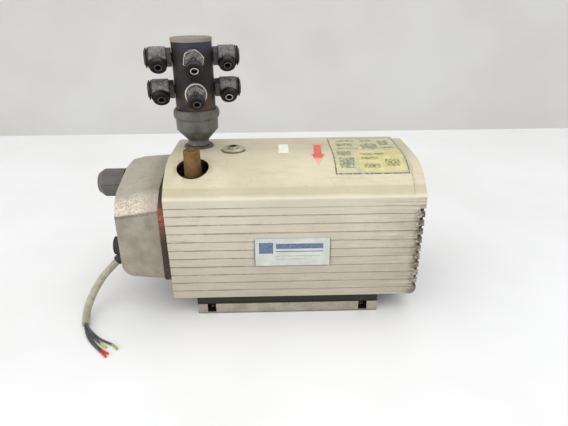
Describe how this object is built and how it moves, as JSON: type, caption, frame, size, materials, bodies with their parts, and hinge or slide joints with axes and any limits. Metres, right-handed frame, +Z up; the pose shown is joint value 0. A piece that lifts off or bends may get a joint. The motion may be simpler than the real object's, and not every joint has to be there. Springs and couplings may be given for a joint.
{
  "type": "rotary vane vacuum pump",
  "caption": "Dry rotary vane vacuum pump and motor under a ribbed sheet hood, with a silencer casting, regulator knob, base rails and a vertical hose distributor of swivel elbows.",
  "frame": {"origin": "centre of the four mounting holes, on the underside of the base rails", "axes": "+X along the shaft from the silencer casting towards the fan, +Y across the pump away from the exhaust side, +Z up"},
  "size_m": [0.5176, 0.3385, 0.4022],
  "materials": {
    "hood_paint": "satin, aged, lightly scuffed",
    "casting_paint": "textured, worn",
    "rusty_iron": "rusty",
    "grey_iron": "machined and raw",
    "base_paint": "dull dark paint",
    "rail_aluminium": "mill finish, dusty",
    "zinc_steel": "zinc plated",
    "ground_steel": "ground",
    "plate_aluminium": "printed plate",
    "black_plastic": "moulded",
    "brass": "turned",
    "sintered_bronze": "porous, dull",
    "black_rubber": "matt",
    "grey_pvc": "satin",
    "dark_anodised": "dark, slightly glossy",
    "cap_plastic": "satin",
    "nickel": "nickel plated, slightly dull",
    "fitting_plastic": "moulded",
    "collet_plastic": "moulded",
    "cable_jacket": "extruded",
    "core_plastic": "extruded",
    "winding_copper": "varnished",
    "laminated_steel": "stacked sheet",
    "cast_aluminium": "die cast",
    "carbon": "ground graphite",
    "filter_paper": "pleated"
  },
  "bodies": {
    "pump_frame": {"base_plate": "base_paint", "base_rail_front": "rail_aluminium", "base_rail_rear": "rail_aluminium", "rail_screws": "zinc_steel", "hood_cover": "hood_paint", "hood_screw": "zinc_steel", "name_plate": "plate_aluminium", "pump_flange": "rusty_iron", "pump_cylinder": "grey_iron", "pump_side_cover": "grey_iron", "cylinder_screws": "zinc_steel", "bearing_outer_rings": "ground_steel", "motor_frame": "cast_aluminium", "stator_core": "laminated_steel", "stator_windings": "winding_copper", "motor_end_shield": "cast_aluminium", "fan_guard": "black_plastic", "silencer_housing": "casting_paint", "housing_screws": "zinc_steel", "inlet_filter": "filter_paper", "terminal_block": "cap_plastic", "regulator_bush": "brass", "regulator_spring": "ground_steel", "exhaust_silencer": "sintered_bronze", "inlet_nipple": "grey_iron", "inlet_grommet": "black_rubber", "bell_reducer": "grey_pvc", "manifold_body": "dark_anodised", "manifold_cap": "cap_plastic", "port_adapters": "nickel", "banjo_heads": "nickel", "mains_cable": "cable_jacket", "cable_cores": "core_plastic", "cable_gland": "black_rubber"},
    "rotor": {"pump_rotor": "ground_steel", "rotor_shaft": "ground_steel", "bearing_inner_rings": "ground_steel", "motor_rotor_core": "laminated_steel", "cooling_fan": "black_plastic"},
    "vane_1": {"vane_1": "carbon"},
    "vane_2": {"vane_2": "carbon"},
    "vane_3": {"vane_3": "carbon"},
    "vane_4": {"vane_4": "carbon"},
    "vane_5": {"vane_5": "carbon"},
    "vane_6": {"vane_6": "carbon"},
    "vane_7": {"vane_7": "carbon"},
    "knob": {"regulator_knob": "black_plastic"},
    "spring_plate": {"spring_plate": "brass"},
    "elbow_left_upper": {"elbow_left_upper": "fitting_plastic"},
    "collet_left_upper": {"collet_left_upper": "collet_plastic"},
    "elbow_left_lower": {"elbow_left_lower": "fitting_plastic"},
    "collet_left_lower": {"collet_left_lower": "collet_plastic"},
    "elbow_front_upper": {"elbow_front_upper": "fitting_plastic"},
    "collet_front_upper": {"collet_front_upper": "collet_plastic"},
    "elbow_front_lower": {"elbow_front_lower": "fitting_plastic"},
    "collet_front_lower": {"collet_front_lower": "collet_plastic"},
    "elbow_right_upper": {"elbow_right_upper": "fitting_plastic"},
    "collet_right_upper": {"collet_right_upper": "collet_plastic"},
    "elbow_right_lower": {"elbow_right_lower": "fitting_plastic"},
    "collet_right_lower": {"collet_right_lower": "collet_plastic"}
  },
  "joints": [
    {"name": "rotor_spin", "type": "hinge", "parent": "pump_frame", "child": "rotor", "pos_m": [0, 0, 0.122], "axis": [1, 0, 0], "continuous": true},
    {"name": "vane_1_slide", "type": "slide", "parent": "rotor", "child": "vane_1", "axis": [0, -0.2225, 0.9749], "range_m": [0, 0.0002]},
    {"name": "vane_2_slide", "type": "slide", "parent": "rotor", "child": "vane_2", "axis": [0, -0.901, 0.4339], "range_m": [0, 0.0033]},
    {"name": "vane_3_slide", "type": "slide", "parent": "rotor", "child": "vane_3", "axis": [0, -0.901, -0.4339], "range_m": [0, 0.0033]},
    {"name": "vane_4_slide", "type": "slide", "parent": "rotor", "child": "vane_4", "axis": [0, -0.2225, -0.9749], "range_m": [0, 0.0002]},
    {"name": "vane_5_slide", "type": "slide", "parent": "rotor", "child": "vane_5", "axis": [0, 0.6235, -0.7818], "range_m": [0, 0.0013]},
    {"name": "vane_6_slide", "type": "slide", "parent": "rotor", "child": "vane_6", "axis": [0, 1, 0], "range_m": [0, 0.006]},
    {"name": "vane_7_slide", "type": "slide", "parent": "rotor", "child": "vane_7", "axis": [0, 0.6235, 0.7818], "range_m": [0, 0.0013]},
    {"name": "knob_turn", "type": "hinge", "parent": "pump_frame", "child": "knob", "pos_m": [-0.25, 0, 0.18], "axis": [1, 0, 0], "range_deg": [0, 1080]},
    {"name": "spring_plate_slide", "type": "slide", "parent": "pump_frame", "child": "spring_plate", "axis": [1, 0, 0], "range_m": [0, 0.0061], "deforming": ["regulator_spring"]},
    {"name": "elbow_left_upper_swivel", "type": "hinge", "parent": "pump_frame", "child": "elbow_left_upper", "pos_m": [-0.138, 0.015, 0.374], "axis": [-0.9848, -0.1736, 0], "continuous": true},
    {"name": "collet_left_upper_press", "type": "slide", "parent": "elbow_left_upper", "child": "collet_left_upper", "axis": [-0.1422, 0.8067, 0.5736], "range_m": [0, 0.0015], "stiffness_N_per_m": 300},
    {"name": "elbow_left_lower_swivel", "type": "hinge", "parent": "pump_frame", "child": "elbow_left_lower", "pos_m": [-0.138, 0.015, 0.327], "axis": [-0.9848, -0.1736, 0], "continuous": true},
    {"name": "collet_left_lower_press", "type": "slide", "parent": "elbow_left_lower", "child": "collet_left_lower", "axis": [-0.1422, 0.8067, 0.5736], "range_m": [0, 0.0015], "stiffness_N_per_m": 300},
    {"name": "elbow_front_upper_swivel", "type": "hinge", "parent": "pump_frame", "child": "elbow_front_upper", "pos_m": [-0.138, 0.015, 0.374], "axis": [0.1736, -0.9848, 0], "continuous": true},
    {"name": "collet_front_upper_press", "type": "slide", "parent": "elbow_front_upper", "child": "collet_front_upper", "axis": [-0.1405, 0.7967, 0.5878], "range_m": [0, 0.0015], "stiffness_N_per_m": 300},
    {"name": "elbow_front_lower_swivel", "type": "hinge", "parent": "pump_frame", "child": "elbow_front_lower", "pos_m": [-0.138, 0.015, 0.327], "axis": [0.1736, -0.9848, 0], "continuous": true},
    {"name": "collet_front_lower_press", "type": "slide", "parent": "elbow_front_lower", "child": "collet_front_lower", "axis": [-0.1405, 0.7967, 0.5878], "range_m": [0, 0.0015], "stiffness_N_per_m": 300},
    {"name": "elbow_right_upper_swivel", "type": "hinge", "parent": "pump_frame", "child": "elbow_right_upper", "pos_m": [-0.138, 0.015, 0.374], "axis": [0.9848, 0.1736, 0], "continuous": true},
    {"name": "collet_right_upper_press", "type": "slide", "parent": "elbow_right_upper", "child": "collet_right_upper", "axis": [-0.1422, 0.8067, 0.5736], "range_m": [0, 0.0015], "stiffness_N_per_m": 300},
    {"name": "elbow_right_lower_swivel", "type": "hinge", "parent": "pump_frame", "child": "elbow_right_lower", "pos_m": [-0.138, 0.015, 0.327], "axis": [0.9848, 0.1736, 0], "continuous": true},
    {"name": "collet_right_lower_press", "type": "slide", "parent": "elbow_right_lower", "child": "collet_right_lower", "axis": [-0.1422, 0.8067, 0.5736], "range_m": [0, 0.0015], "stiffness_N_per_m": 300}
  ],
  "couplings": [
    {"joint": "spring_plate_slide", "follows": "knob_turn", "m_per_rad": 0.00031831}
  ]
}
